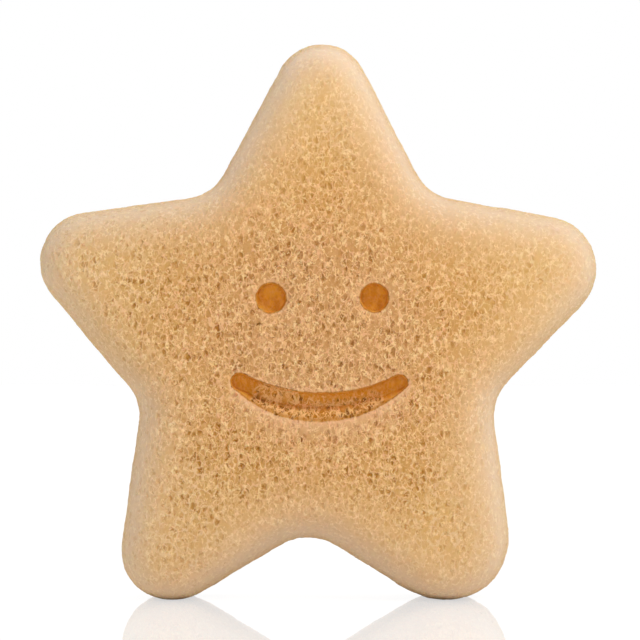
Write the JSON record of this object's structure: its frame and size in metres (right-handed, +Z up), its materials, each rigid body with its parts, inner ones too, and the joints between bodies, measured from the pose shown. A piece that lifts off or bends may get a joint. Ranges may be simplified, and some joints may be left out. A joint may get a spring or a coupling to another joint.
{
  "type": "konjac sponge",
  "caption": "Star shaped face sponge of open-cell konjac foam with round eyes and a smile sunk into the front, standing on its two lower arms.",
  "frame": {"origin": "middle of the width and of the thickness, on the surface that the two feet stand on", "axes": "+Z up towards the upper arm, the smiling face towards -Y, the flat back towards +Y, +X to the right as the face is looked at"},
  "size_m": [0.095, 0.027, 0.0946],
  "materials": {
    "konjac_foam": "pale honey coloured open-cell plant fibre foam, matte, with a finer skin round the edges"
  },
  "bodies": {
    "root": {"sponge_body": "konjac_foam"}
  },
  "joints": []
}
